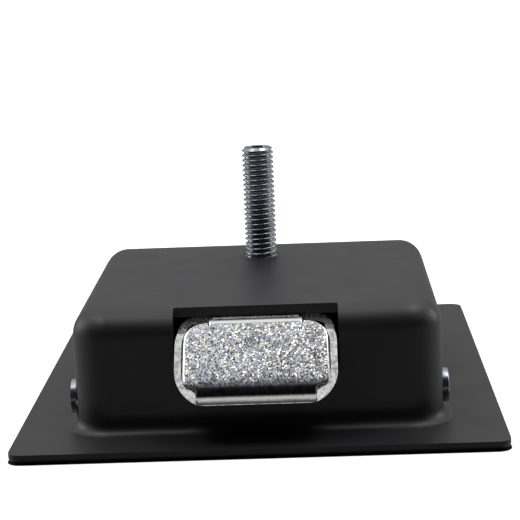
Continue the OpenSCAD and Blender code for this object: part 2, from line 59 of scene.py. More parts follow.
FACING = 0.9  # share of the normal over which a face looks one way
ROUND = 64  # sides of a turned round
EASE_STEPS = 3  # flats across an eased edge
FLAT_PULL = 100  # how strongly large faces set the shading of an edge, of 100
BURNISH = "burnish"  # attribute of what the press rubs plain, up to 1
SHEARED = 0.6  # its value on a sheared edge

Span = tuple[float, float]
Vec3 = tuple[float, float, float]
Sky = tuple[Span, ...]
Colour = tuple[float, float, float, float]


class Body(str, Enum):
    """Moving bodies of the latch."""

    HOUSING = "housing"
    PADDLE = "paddle"
    BOLT = "bolt"


class Slot(str, Enum):
    """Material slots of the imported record."""

    COAT = "black_coat"
    ZINC = "zinc_plate"
    SPRING = "spring_steel"


class Element(str, Enum):
    """What can be selected on a mesh."""

    EDGES = "edges"
    FACES = "faces"
    VERTS = "verts"


def linear(code: str) -> Colour:
    """Turns an sRGB hex colour into linear light.

    Args:
        code: Colour as "#rrggbb".

    Returns:
        Red, green, blue and an alpha of one, in linear light.
    """
    parts = [int(code[i:i + 2], 16) / 255 for i in (1, 3, 5)]
    r, g, b = (c / 12.92 if c <= 0.04045 else ((c + 0.055) / 1.055) ** 2.4 for c in parts)
    return r, g, b, 1.0


def per_metre(size_mm: float) -> float:
    """Gives the texture scale that repeats once in a size in millimetres."""
    return 1 / (size_mm * MM)


def add_node(tree: NodeTree, kind: str, settings: dict[Any, Any] | None = None,
             links: dict[Any, Any] | None = None) -> Node:
    """Adds one shader node with its settings and links.

    Args:
        tree: Node tree that takes the node.
        kind: Blender's type name of the node.
        settings: Attributes of the node, or values of its inputs by name or number.
        links: Output sockets to join to its inputs, by input name or number.

    Returns:
        The new node.
    """
    node = tree.nodes.new(kind)
    for key, value in (settings or {}).items():
        if isinstance(key, str) and hasattr(node, key):
            setattr(node, key, value)
        else:
            node.inputs[key].default_value = value
    for key, socket in (links or {}).items():
        tree.links.new(socket, node.inputs[key])
    return node


def set_stops(ramp: ColorRamp, stops: list[tuple[float, Colour]]) -> None:
    """Puts colours on a colour ramp.

    Args:
        ramp: Ramp with its first two stops.
        stops: Place and linear colour of each stop, in order.
    """
    for at, _ in stops[1:-1]:
        ramp.elements.new(at)
    for element, (at, colour) in zip(ramp.elements, stops):
        element.position = at
        element.color = colour


@dataclass(frozen=True)
class Finish(ABC):
    """Surface finish that makes its own material.

    Attributes:
        name: Name of the material, for what it is and how it was made.
        colour: Base colour as sRGB hex.
        metallic: One for bare metal, zero for a coat.
        roughness: Mean roughness of the surface.
    """

    name: str
    colour: str
    metallic: float
    roughness: float

    def material(self) -> Material:
        """Makes the material, or gives the one that is already made.

        Returns:
            The finish as a Blender material.
        """
        if self.name in bpy.data.materials:
            return bpy.data.materials[self.name]
        made = bpy.data.materials.new(self.name)
        made.use_nodes = True
        tree = made.node_tree
        tree.nodes.clear()
        shader = add_node(tree, "ShaderNodeBsdfPrincipled", {
            "Base Color": linear(self.colour), "Metallic": self.metallic, "Roughness": self.roughness})
        add_node(tree, "ShaderNodeOutputMaterial", {}, {"Surface": shader.outputs["BSDF"]})
        place = add_node(tree, "ShaderNodeTexCoord").outputs["Object"]
        self.pattern(tree, shader, place)
        return made

    @abstractmethod
    def pattern(self, tree: NodeTree, shader: Node, place: NodeSocket) -> None:
        """Adds the finish's own detail to the shader.

        Args:
            tree: Node tree of the material.
            shader: Principled shader to link to.
            place: Object coordinates in metres.
        """


@dataclass(frozen=True)
class PowderCoat(Finish):
    """Black polyester powder coat, sprayed and baked: satin, with fine orange peel and faint handling marks.

    Attributes:
        sheen: Specular level of the resin.
        peel_mm: Size of the orange peel.
        peel_depth_mm: Depth of the orange peel.
        peel_share: Share of that depth that shows.
        cloud_mm: Size of the clouds in the gloss.
        cloud_span: Noise between which the gloss changes.
        cloud_gloss: Roughness that the clouds add, from the least to the most.
        rub_mm: Size of the rubbed spots.
        rub_span: Noise between which a spot appears.
        rubbed: Colour of the spots.
    """

    sheen: float = 0.55
    peel_mm: float = 0.55
    peel_depth_mm: float = 0.08
    peel_share: float = 0.16
    cloud_mm: float = 14.0
    cloud_span: Span = (0.3, 0.7)
    cloud_gloss: Span = (-0.04, 0.05)
    rub_mm: float = 5.0
    rub_span: Span = (0.66, 0.78)
    rubbed: str = "#2b2b2e"

    def pattern(self, tree: NodeTree, shader: Node, place: NodeSocket) -> None:
        """Adds the orange peel, the clouding of the gloss and the rubbed spots.

        Args:
            tree: Node tree of the material.
            shader: Principled shader to link to.
            place: Object coordinates in metres.
        """
        shader.inputs["Specular IOR Level"].default_value = self.sheen
        cloud = add_node(tree, "ShaderNodeTexNoise", {
            "Scale": per_metre(self.cloud_mm), "Detail": 4.0, "Roughness": 0.55}, {"Vector": place})
        rub = add_node(tree, "ShaderNodeTexNoise", {
            "Scale": per_metre(self.rub_mm), "Detail": 8.0, "Roughness": 0.72}, {"Vector": place})
        marks = add_node(tree, "ShaderNodeMapRange", {
            "From Min": self.rub_span[0], "From Max": self.rub_span[1], "To Min": 0.0, "To Max": 1.0},
            {"Value": rub.outputs["Fac"]})
        tone = add_node(tree, "ShaderNodeMix", {
            "data_type": "RGBA", 6: linear(self.colour), 7: linear(self.rubbed)},
            {0: marks.outputs["Result"]})
        tree.links.new(tone.outputs[2], shader.inputs["Base Color"])
        gloss = add_node(tree, "ShaderNodeMapRange", {
            "From Min": self.cloud_span[0], "From Max": self.cloud_span[1],
            "To Min": self.roughness + self.cloud_gloss[0], "To Max": self.roughness + self.cloud_gloss[1]},
            {"Value": cloud.outputs["Fac"]})
        tree.links.new(gloss.outputs["Result"], shader.inputs["Roughness"])
        peel = add_node(tree, "ShaderNodeTexNoise", {
            "Scale": per_metre(self.peel_mm), "Detail": 2.0, "Roughness": 0.5}, {"Vector": place})
        bump = add_node(tree, "ShaderNodeBump", {
            "Strength": self.peel_share, "Distance": self.peel_depth_mm * MM},
            {"Height": peel.outputs["Fac"]})
        tree.links.new(bump.outputs["Normal"], shader.inputs["Normal"])


@dataclass(frozen=True)
class SpangledZinc(Finish):
    """Zinc on rolled sheet, clear passivated: crystal flecks that each catch the light their own way.

    The press burnishes folds, rims and sheared edges, so the flecks fade into a plain shine there.

    Attributes:
        fleck_mm: Size of one fleck.
        crystals: Tints of the flecks, from the darkest crystal (0) to the lightest (1).
        wave_mm: Size of the waves in the flecks' outlines.
        wave_by_mm: How far those waves reach.
        grain_mm: Size of the grain inside a fleck.
        grain_share: Share of a fleck's lean that comes from its grain.
        tilt: How far the flecks lean, as a share of the surface's normal.
        plain_tilt: How far a burnished place leans.
        gloss: Roughness that a fleck adds, from the least to the most.
        polish: Roughness of a burnished place.
        cloud_mm: Size of the lighter and darker clouds that the flecks gather in.
        cloud_span: Noise between which the clouds change.
        cloud_shade: Brightness of the darkest and the lightest cloud.
        mottle_mm: Size of the stains on the burnished places.
        stains: Dark and light of the stains.
        stain_span: Noise at the dark and at the light.
        clean_from: Mark of the burnish from which there are no stains.
        clean_metallic: Share of bare metal there, under a haze of fine scratches.
    """

    fleck_mm: float = 0.31
    crystals: tuple[tuple[float, str], ...] = ((0.0, "#54575f"), (0.2, "#7d8192"), (0.42, "#adafb5"),
                                               (0.62, "#c8c8c8"), (0.8, "#cdc8b6"), (1.0, "#fafaf6"))
    wave_mm: float = 0.9
    wave_by_mm: float = 0.5
    grain_mm: float = 0.13
    grain_share: float = 0.3
    tilt: float = 0.55
    plain_tilt: float = 0.03
    gloss: Span = (-0.1, 0.12)
    polish: float = 0.12
    cloud_mm: float = 4.5
    cloud_span: Span = (0.32, 0.68)
    cloud_shade: Span = (0.78, 1.22)
    mottle_mm: float = 1.1
    stains: tuple[str, str] = ("#686a70", "#a5a7ad")
    stain_span: Span = (0.36, 0.62)
    clean_from: float = 0.95
    clean_metallic: float = 0.6

    def pattern(self, tree: NodeTree, shader: Node, place: NodeSocket) -> None:
        """Adds the flecks as cells with their own tilt, tint and gloss, fading where the sheet is burnished.

        Args:
            tree: Node tree of the material.
            shader: Principled shader to link to.
            place: Object coordinates in metres.
        """
        worked = add_node(tree, "ShaderNodeAttribute", {"attribute_name": BURNISH}).outputs["Fac"]
        whole = add_node(tree, "ShaderNodeMapRange", {
            "From Min": 0.0, "From Max": SHEARED, "To Min": 1.0, "To Max": 0.0},
            {"Value": worked}).outputs["Result"]
        bright = add_node(tree, "ShaderNodeMapRange", {"From Min": SHEARED, "From Max": self.clean_from},
                          {"Value": worked}).outputs["Result"]
        waves = add_node(tree, "ShaderNodeTexNoise", {"Scale": per_metre(self.wave_mm), "Detail": 4.0},
                         {"Vector": place})
        nudge = add_node(tree, "ShaderNodeVectorMath", {
            "operation": "MULTIPLY_ADD", 1: (self.wave_by_mm * MM,) * 3},
            {0: waves.outputs["Color"], 2: place})
        cells = add_node(tree, "ShaderNodeTexVoronoi", {"Scale": per_metre(self.fleck_mm), "Randomness": 1.0},
                         {"Vector": nudge.outputs["Vector"]})
        split = add_node(tree, "ShaderNodeSeparateColor", {}, {"Color": cells.outputs["Color"]})
        self.tone(tree, shader, place, whole, bright, split.outputs["Red"])
        gloss = add_node(tree, "ShaderNodeMapRange", {
            "To Min": self.roughness + self.gloss[0], "To Max": self.roughness + self.gloss[1]},
            {"Value": split.outputs["Green"]})
        polish = add_node(tree, "ShaderNodeMix", {"data_type": "FLOAT", 2: self.polish},
                          {0: whole, 3: gloss.outputs["Result"]})
        tree.links.new(polish.outputs[0], shader.inputs["Roughness"])
        self.lean(tree, shader, place, whole, cells.outputs["Color"])

    def tone(self, tree: NodeTree, shader: Node, place: NodeSocket,
             whole: NodeSocket, bright: NodeSocket, draw: NodeSocket) -> None:
        """Adds the tints of the flecks in their clouds, and the stains and the shine of the burnished places.

        Args:
            tree: Node tree of the material.
            shader: Principled shader to link to.
            place: Object coordinates in metres.
            whole: One where the flecks are whole, zero where the sheet is worked.
            bright: One where the sheet is burnished clean.
            draw: Each fleck's own number, from zero to one.
        """
        tint = add_node(tree, "ShaderNodeValToRGB", {}, {"Fac": draw})
        set_stops(tint.color_ramp, [(at, linear(code)) for at, code in self.crystals])
        cloud = add_node(tree, "ShaderNodeTexNoise", {"Scale": per_metre(self.cloud_mm), "Detail": 3.0},
                         {"Vector": place})
        shade = add_node(tree, "ShaderNodeMapRange", {
            "From Min": self.cloud_span[0], "From Max": self.cloud_span[1],
            "To Min": self.cloud_shade[0], "To Max": self.cloud_shade[1]}, {"Value": cloud.outputs["Fac"]})
        flecks = add_node(tree, "ShaderNodeVectorMath", {"operation": "SCALE"},
                          {0: tint.outputs["Color"], "Scale": shade.outputs["Result"]})
        stain = add_node(tree, "ShaderNodeTexNoise", {
            "Scale": per_metre(self.mottle_mm), "Detail": 5.0, "Roughness": 0.65}, {"Vector": place})
        plain = add_node(tree, "ShaderNodeValToRGB", {}, {"Fac": stain.outputs["Fac"]})
        set_stops(plain.color_ramp, [(at, linear(code)) for at, code in zip(self.stain_span, self.stains)])
        clean = add_node(tree, "ShaderNodeMix", {"data_type": "RGBA", 7: linear(self.colour)},
                         {0: bright, 6: plain.outputs["Color"]})
        both = add_node(tree, "ShaderNodeMix", {"data_type": "RGBA"},
                        {0: whole, 6: clean.outputs[2], 7: flecks.outputs["Vector"]})
        tree.links.new(both.outputs[2], shader.inputs["Base Color"])
        rubbed = add_node(tree, "ShaderNodeMapRange", {"To Min": 1.0, "To Max": self.clean_metallic},
                          {"Value": bright})
        bare = add_node(tree, "ShaderNodeMix", {"data_type": "FLOAT", 3: self.metallic},
                        {0: whole, 2: rubbed.outputs["Result"]})
        tree.links.new(bare.outputs[0], shader.inputs["Metallic"])

    def lean(self, tree: NodeTree, shader: Node, place: NodeSocket,
             whole: NodeSocket, draw: NodeSocket) -> None:
        """Leans each fleck its own way off the surface.

        Args:
            tree: Node tree of the material.
            shader: Principled shader to link to.
            place: Object coordinates in metres.
            whole: One where the flecks are whole, zero where the sheet is worked.
            draw: Each fleck's own colour, which gives its way.
        """
        face = add_node(tree, "ShaderNodeNewGeometry").outputs["Normal"]
        amount = add_node(tree, "ShaderNodeMapRange", {"To Min": self.plain_tilt, "To Max": self.tilt},
                          {"Value": whole})
        grain = add_node(tree, "ShaderNodeTexNoise", {"Scale": per_metre(self.grain_mm), "Detail": 3.0},
                         {"Vector": place})
        both = add_node(tree, "ShaderNodeMix", {"data_type": "RGBA", 0: self.grain_share},
                        {6: draw, 7: grain.outputs["Color"]})
        way = add_node(tree, "ShaderNodeVectorMath", {"operation": "SUBTRACT", 1: (0.5, 0.5, 0.5)},
                       {0: both.outputs[2]})
        scaled = add_node(tree, "ShaderNodeVectorMath", {"operation": "SCALE"},
                          {0: way.outputs["Vector"], "Scale": amount.outputs["Result"]})
        turned = add_node(tree, "ShaderNodeVectorMath", {"operation": "ADD"},
                          {0: scaled.outputs["Vector"], 1: face})
        unit = add_node(tree, "ShaderNodeVectorMath", {"operation": "NORMALIZE"},
                        {0: turned.outputs["Vector"]})
        tree.links.new(unit.outputs["Vector"], shader.inputs["Normal"])


@dataclass(frozen=True)
class TurnedZinc(Finish):
    """Bright zinc on turned or rolled steel: a clean grey shine with faint bloom and fine tool lines.

    Attributes:
        line_mm: Spacing of the tool lines.
        line_depth_mm: Depth of the lines.
        line_share: Share of that depth that shows.
        bloom_mm: Size of the bloom.
        bloom_span: Noise between which the bloom clears.
        bloomed: Colour under the bloom.
        bloom_gloss: Roughness that is added under the bloom and where it is clear.
    """

    line_mm: float = 0.18
    line_depth_mm: float = 0.03
    line_share: float = 0.12
    bloom_mm: float = 3.0
    bloom_span: Span = (0.3, 0.7)
    bloomed: str = "#8d9298"
    bloom_gloss: Span = (0.08, -0.05)

    def pattern(self, tree: NodeTree, shader: Node, place: NodeSocket) -> None:
        """Adds the bloom of the plating and the fine lines left by the tool.

        Args:
            tree: Node tree of the material.
            shader: Principled shader to link to.
            place: Object coordinates in metres.
        """
        bloom = add_node(tree, "ShaderNodeTexNoise", {
            "Scale": per_metre(self.bloom_mm), "Detail": 5.0, "Roughness": 0.6}, {"Vector": place})
        tone = add_node(tree, "ShaderNodeValToRGB", {}, {"Fac": bloom.outputs["Fac"]})
        set_stops(tone.color_ramp, list(zip(self.bloom_span, (linear(self.bloomed), linear(self.colour)))))
        tree.links.new(tone.outputs["Color"], shader.inputs["Base Color"])
        gloss = add_node(tree, "ShaderNodeMapRange", {
            "From Min": self.bloom_span[0], "From Max": self.bloom_span[1],
            "To Min": self.roughness + self.bloom_gloss[0], "To Max": self.roughness + self.bloom_gloss[1]},
            {"Value": bloom.outputs["Fac"]})
        tree.links.new(gloss.outputs["Result"], shader.inputs["Roughness"])
        lines = add_node(tree, "ShaderNodeTexNoise", {"Scale": per_metre(self.line_mm), "Detail": 2.0},
                         {"Vector": place})
        bump = add_node(tree, "ShaderNodeBump", {
            "Strength": self.line_share, "Distance": self.line_depth_mm * MM},
            {"Height": lines.outputs["Fac"]})
        tree.links.new(bump.outputs["Normal"], shader.inputs["Normal"])


@dataclass(frozen=True)
class StudioFloor(Finish):
    """Matt paper or card, with a glow where light comes through it from below.

    Attributes:
        grain: Second colour of the paper.
        grain_mm: Size of its unevenness.
        glow: Strength of the light that comes through.
    """

    grain: str = "#f7f7f6"
    grain_mm: float = 40.0
    glow: float = 0.6

    def pattern(self, tree: NodeTree, shader: Node, place: NodeSocket) -> None:
        """Adds the slight unevenness of paper.

        Args:
            tree: Node tree of the material.
            shader: Principled shader to link to.
            place: Object coordinates in metres.
        """
        grain = add_node(tree, "ShaderNodeTexNoise", {"Scale": per_metre(self.grain_mm), "Detail": 3.0},
                         {"Vector": place})
        tone = add_node(tree, "ShaderNodeMix", {
            "data_type": "RGBA", 6: linear(self.colour), 7: linear(self.grain)}, {0: grain.outputs["Fac"]})
        for socket in ("Base Color", "Emission Color"):
            tree.links.new(tone.outputs[2], shader.inputs[socket])
        shader.inputs["Emission Strength"].default_value = self.glow


COAT = PowderCoat("black_powder_coat_satin", "#1c1c1f", 0.0, 0.46)
SHEET_ZINC = SpangledZinc("zinc_sheet_spangled", "#e6e6e2", 0.78, 0.26)
TUBE_ZINC = SpangledZinc("zinc_sheet_dulled", "#e6e6e2", 0.45, 0.4, tilt=0.4, stains=("#a3a5a8", "#efefec"))
PIN_ZINC = TurnedZinc("zinc_bright_turned", "#b2b6bc", 1.0, 0.24)
STAMPED_ZINC = TurnedZinc("zinc_bright_stamped", "#b9bdc2", 1.0, 0.32, line_mm=0.3, bloom_mm=6.0)
WIRE = TurnedZinc("spring_steel_drawn", "#9ba0a6", 1.0, 0.28, line_mm=0.12, bloom_mm=2.0)
RING_STEEL = TurnedZinc("ring_steel_phosphated", "#5d6064", 1.0, 0.42, line_mm=0.2, bloom_mm=1.5)
PAPER = StudioFloor("paper_sweep_matt", "#fbfbfa", 0.0, 0.95)
# Black sheet under the flange; the rim of it that shows round the flange is a painted contact shadow.
SHADOW_CARD = StudioFloor("card_matt_black_painted_contact_shadow", "#020202", 0.0, 1.0, grain="#050505", glow=0.0)


def only(piece: Object) -> None:
    """Deselects everything but one object, and makes it the active one.

    Args:
        piece: Object to work on.
    """
    bpy.ops.object.select_all(action="DESELECT")
    piece.select_set(True)
    bpy.context.view_layer.objects.active = piece


@contextmanager
def editing(piece: Object) -> Iterator[None]:
    """Opens edit mode on one object and closes it again.

    Args:
        piece: Object to edit.
    """
    only(piece)
    bpy.ops.object.mode_set(mode="EDIT")
    try:
        yield
    finally:
        bpy.ops.object.mode_set(mode="OBJECT")


def start(add: Callable[..., Any], name: str = "", **settings: Any) -> Object:
    """Adds one object with nothing else selected.

    Args:
        add: Operator that adds it.
        name: Its name, or nothing to keep the operator's own.
        settings: Size and place for the operator.

    Returns:
        The new object.
    """
    bpy.ops.object.select_all(action="DESELECT")
    add(**settings)
    added = bpy.context.active_object
    added.name = name or added.name
    return added


def pick(piece: Object, kind: Element, test: Callable[[Any], bool]) -> None:
    """Selects what passes a test on a mesh in edit mode, and deselects the rest.

    Args:
        piece: Object in edit mode.
        kind: What is tested.
        test: True for what is selected.
    """
    mesh = bmesh.from_edit_mesh(piece.data)
    for part in getattr(mesh, kind.value):
        part.select_set(test(part))
    bmesh.update_edit_mesh(piece.data)


def weld(size_mm: float) -> None:
    """Merges the corners of the mesh in edit mode that lie closer than a size."""
    bpy.ops.mesh.select_all(action="SELECT")
    bpy.ops.mesh.remove_doubles(threshold=size_mm * MM)


def face_out() -> None:
    """Turns all faces of the mesh in edit mode outwards."""
    bpy.ops.mesh.select_all(action="SELECT")
    bpy.ops.mesh.normals_make_consistent(inside=False)


def smooth(piece: Object, sharp_deg: float) -> None:
    """Shades an object smooth, but for edges sharper than an angle."""
    only(piece)
    bpy.ops.object.shade_smooth_by_angle(angle=math.radians(sharp_deg))


def polyline(name: str, points: list[Vec3]) -> Object:
    """Draws an open line of edges by extruding one corner.

    Args:
        name: Name of the new object.
        points: Corners of the line in metres.

    Returns:
        The line as a mesh.
    """
    line = start(bpy.ops.mesh.primitive_plane_add, name, size=MM)
    with editing(line):
        bpy.ops.mesh.select_mode(type="VERT")
        bpy.ops.mesh.select_all(action="SELECT")
        bpy.ops.mesh.merge(type="CENTER")
        bpy.ops.transform.translate(value=points[0])
        for before, after in zip(points, points[1:]):
            step = [b - a for a, b in zip(before, after)]
            bpy.ops.mesh.extrude_vertices_move(TRANSFORM_OT_translate={"value": step})
    return line


def apply_all(piece: Object) -> None:
    """Applies every modifier of an object in turn.

    Args:
        piece: Object with its modifiers.
    """
    only(piece)
    for name in [m.name for m in piece.modifiers]:
        bpy.ops.object.modifier_apply(modifier=name)


def settle(piece: Object) -> None:
    """Moves an object's place, turn and scale into its mesh."""
    only(piece)
    bpy.ops.object.transform_apply(location=True, rotation=True, scale=True)


def join(first: Object, *others: Object) -> Object:
    """Joins objects into the first one.

    Args:
        first: Object that stays.
        others: Objects whose meshes go into it.

    Returns:
        The first object.
    """
    only(first)
    for other in others:
        other.select_set(True)
    bpy.ops.object.join()
    return first


def dress(piece: Object, finish: Finish) -> None:
    """Gives an object one finish all over."""
    piece.data.materials.clear()
    piece.data.materials.append(finish.material())


def enter(piece: Object, body: Body, slot: Slot, finish: Finish, *nodes: str) -> None:
    """Puts a finished piece into the latch.

    Args:
        piece: Finished object.
        body: Body that it rides on.
        slot: Material slot of the record; not used.
        finish: Finish that it gets.
        nodes: Solids that it stands for.
    """
    dress(piece, finish)
    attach(piece, body.value)
    if nodes:
        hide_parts(*nodes)
    LOG.info("piece %s on %s, %d faces", piece.name, body.value, len(piece.data.polygons))


def ease(piece: Object, width_mm: float, sharp_deg: float) -> None:
    """Rounds the sharp edges of an object and keeps its flat faces evenly lit.

    Args:
        piece: Object to ease.
        width_mm: Width of the eased edge.
        sharp_deg: Angle over which an edge counts as sharp.
    """
    bevel = piece.modifiers.new("ease", "BEVEL")
    bevel.width = width_mm * MM
    bevel.segments = EASE_STEPS
    bevel.limit_method = "ANGLE"
    bevel.angle_limit = math.radians(sharp_deg)
    bevel.use_clamp_overlap = True
    apply_all(piece)
    smooth(piece, sharp_deg)
    even = piece.modifiers.new("even", "WEIGHTED_NORMAL")
    even.weight = FLAT_PULL
    even.keep_sharp = True
    apply_all(piece)


@dataclass
class EasedPiece:
    """Solid whose sheared edges are eased, as a coat or a tumbling drum leaves them.

    Attributes:
        node: Name of the solid.
        body: Body that it rides on.
        slot: Material slot of the record.
        finish: Finish that it gets.
        ease_mm: Width of the eased edge.
        sharp_deg: Angle over which an edge counts as sharp.
        flat_deg: Angle under which two faces are one flat.
        weld_mm: Distance under which corners are welded together.
    """

    node: str
    body: Body
    slot: Slot
    finish: Finish
    ease_mm: float = 0.2
    sharp_deg: float = 34.0
    flat_deg: float = 0.3
    weld_mm: float = 0.002

    def build(self) -> Object:
        """Copies the solid's mesh, welds it, clears its flat faces and rounds its sharp edges.

        Returns:
            The eased piece.
        """
        only(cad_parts[self.node])
        bpy.ops.object.duplicate()
        piece = bpy.context.view_layer.objects.active
        piece.parent = None
        for key in list(piece.keys()):
            del piece[key]
        piece.name = f"{self.node}_eased"
        with editing(piece):
            bpy.ops.mesh.select_all(action="SELECT")
            bpy.ops.mesh.customdata_custom_splitnormals_clear()
            weld(self.weld_mm)
            self.trim(piece)
            bpy.ops.mesh.select_all(action="SELECT")
            bpy.ops.mesh.dissolve_limited(angle_limit=math.radians(self.flat_deg), delimit=set())
        ease(piece, self.ease_mm, self.sharp_deg)
        return piece

    def trim(self, piece: Object) -> None:
        """Corrects the copy of the solid before its edges are eased.

        Args:
            piece: Copy of the solid, in edit mode.
        """

    def make(self) -> None:
        """Builds the piece and enters it in place of its solid."""
        enter(self.build(), self.body, self.slot, self.finish, self.node)


@dataclass
class FlangedPan(EasedPiece):
    """Pan whose flange has a flat back, in millimetres.

    Attributes:
        back_z: Height of the flange's back.
        bead: Most that the solid's edge rounding stands over the back.
        inner: Half width and half length inside which nothing is levelled.
    """

    back_z: float = 2.2
    bead: float = 0.3
    inner: Span = (52.5, 62.5)

    def trim(self, piece: Object) -> None:
        """Levels the low bead that the solid's edge rounding leaves on the back of the flange.

        Args:
            piece: Copy of the solid, in edit mode.
        """
        mesh = bmesh.from_edit_mesh(piece.data)
        for vert in mesh.verts:
            x, y, z = vert.co / MM
            outside = abs(x) > self.inner[0] or abs(y) > self.inner[1]
            if outside and self.back_z < z < self.back_z + self.bead:
                vert.co.z = self.back_z * MM
        bmesh.update_edit_mesh(piece.data)


@dataclass
class BoltTube(EasedPiece):
    """Folded tube of the bolt, whose ramp flap is modelled on its own, in millimetres.

    Attributes:
        rubbed_z: Height up to which the front edges are rubbed plain.
        front: Share of the normal over which a face is on a front edge.
    """

    rubbed_z: float = 25.1
    front: float = 0.45

    def trim(self, piece: Object) -> None:
        """Takes off the flap, the nose fold and the lip.

        Args:
            piece: Copy of the solid, in edit mode.
        """
        flap = FoldedFlap()
        pick(piece, Element.FACES, lambda face: flap.holds(face.calc_center_median() / MM))
        bpy.ops.mesh.delete(type="FACE")

    def build(self) -> Object:
        """Eases the tube and marks its sheared front edges.

        Returns:
            The tube without its flap.
        """
        piece = super().build()
        mark = piece.data.attributes.new(BURNISH, "FLOAT", "FACE")
        for face in piece.data.polygons:
            sheared = face.normal.y < -self.front and face.center.z < self.rubbed_z * MM
            mark.data[face.index].value = SHEARED if sheared else 0.0
        return piece


@dataclass
class FoldedFlap:
    """Ramp flap of the bolt, cut flat and folded as in a press, in millimetres.

    Attributes:
        width: Width of the flap.
        neck: Width of the nose fold and its lip, between the notches.
        roof_half: Half width of the fold up to the roof.
        roof_l: Length of the flat beyond that fold.
        lip: Height of the upright lip.
        nose_r: Outer radius of the nose fold.
        ridge_r: Outer radius of the fold up to the roof.
        ramp_deg: Angle of the ramp from the flange.
        ramp_l: Length of the flat ramp.
        shoulder: How far the upper corners reach past the ramp.
        top_r: Radius of the upper corners.
        notch_r: Radius inside the notches beside the neck.
        foot_r: Radius of the flap's lower corners.
        relief: Width of the relief notches at the ends of the upper fold.
        sheet: Thickness of the sheet.
        ease_mm: Width of the rounded rim.
        sharp_deg: Angle over which an edge counts as sharp.
        roll: Width of the rolled edge that the shear leaves round the flap.
        drop: How far that edge is drawn down.
        bow_deg: Turn of each half of the ramp, which the press leaves slightly bowed.
        bow: Where each half bends, from the middle (0) to its end (1), and its share of the bow there.
        sink: How far the bow lowers the ends of the ramp, which the flap is set out by.
        fade: Height over the nose fold in which the flecks fade.
        axis: Y and Z of the nose fold's axis.
        front_y: How far back the upright lip reaches.
        back_y: Where the roof starts.
        slack: How far under and beside the flap its faces on the solid may lie.
        weld_mm: Distance under which corners are welded together.
        reach: Distance within which a corner is on a fold line, and on the rim past the ramp.
        steps: Flats that one fold is made of.
        corner_steps: Flats of a corner and of a relief notch.
    """

    width: float = 31.8
    neck: float = 26.4
    roof_half: float = 10.3
    roof_l: float = 0.5
    lip: float = 1.62
    nose_r: float = 3.4
    ridge_r: float = 2.0
    ramp_deg: float = 44.0
    ramp_l: float = 16.23
    shoulder: float = 0.1
    top_r: float = 4.5
    notch_r: float = 1.1
    foot_r: float = 1.0
    relief: float = 0.36
    sheet: float = 1.5
    ease_mm: float = 0.3
    sharp_deg: float = 50.0
    roll: float = 0.5
    drop: float = 0.1
    bow_deg: float = 4.2
    bow: tuple[Span, ...] = ((0.84, 0.5), (0.66, 0.3), (0.3, 0.2))
    sink: float = 0.12
    fade: float = 2.2
    axis: Span = (-59.6, 13.118)
    front_y: float = -61.4
    back_y: float = -48.9
    slack: Span = (0.15, 0.1)
    weld_mm: float = 0.05
    reach: Span = (0.01, 0.05)
    steps: int = 6
    corner_steps: tuple[int, int] = (10, 6)

    def holds(self, point: Vector) -> bool:
        """Tells whether a point of the solid bolt belongs to the flap.

        Args:
            point: Place in millimetres.

        Returns:
            True on the flap, its folds and its lip.
        """
        a = math.radians(self.ramp_deg)
        out = math.cos(a) * (point.z - self.axis[1]) - math.sin(a) * (point.y - self.axis[0])
        inside = out > self.nose_r - self.sheet - self.slack[0] and point.y < self.back_y
        return abs(point.x) < self.width / 2 + self.slack[1] and (inside or point.y < self.front_y)

    def chord(self, radius: float, turn_deg: float) -> float:
        """Gives the length of one flat of a fold."""
        return 2 * radius * math.sin(math.radians(turn_deg) / (2 * self.steps))

    def half_outline(self, low: float, high: float) -> list[Span]:
        """Draws the right half of the flat blank, from its lower edge to its upper edge.

        Args:
            low: Lower end of the blank along its length.
            high: Upper end.

        Returns:
            Points across and along the blank.
        """
        half, inner, top = self.width / 2, self.neck / 2, self.ramp_l + self.shoulder
        slit = self.relief / 2
        corner, notch = self.corner_steps
        arcs = ((inner + self.notch_r, -self.notch_r, self.notch_r, 180, 90, corner),
                (half - self.foot_r, self.foot_r, self.foot_r, -90, 0, corner),
                (half - self.top_r, top - self.top_r, self.top_r, 0, 90, corner),
                (self.roof_half + self.relief, top, 0.0, 0, 0, 0),
                (self.roof_half + slit, top - self.relief, slit, 0, -180, notch))
        points = [(inner, low)]
        for x, y, r, first, last, steps in arcs:
            turns = [math.radians(first + (last - first) * i / max(steps, 1)) for i in range(steps + 1)]
            points += [(x + r * math.cos(t), y + r * math.sin(t)) for t in turns]
        return points + [(self.roof_half, high)]

    def blank(self, low: float, high: float, lines: list[float]) -> Object:
        """Cuts the flat blank and scores its fold lines.

        Args:
            low: Lower end of the blank.
            high: Upper end.
            lines: Fold lines along the blank.

        Returns:
            Flat sheet, face up.
        """
        right = self.half_outline(low, high)
        points = right + [(-x, y) for x, y in reversed(right)]
        sheet = polyline("bolt_flap_folded", [(x * MM, y * MM, 0.0) for x, y in points])
        with editing(sheet):
            bpy.ops.mesh.select_all(action="SELECT")
            bpy.ops.mesh.edge_face_add()
            bpy.ops.mesh.inset(thickness=self.roll * MM)
            for line in lines:
                bpy.ops.mesh.select_all(action="SELECT")
                bpy.ops.mesh.bisect(plane_co=(0, line * MM, 0), plane_no=(0, 1, 0), threshold=CUT)
            weld(self.weld_mm)
            if sum(face.normal.z for face in bmesh.from_edit_mesh(sheet.data).faces) < 0:
                bpy.ops.mesh.flip_normals()
            self.burnish(sheet, low + self.lip)
        return sheet

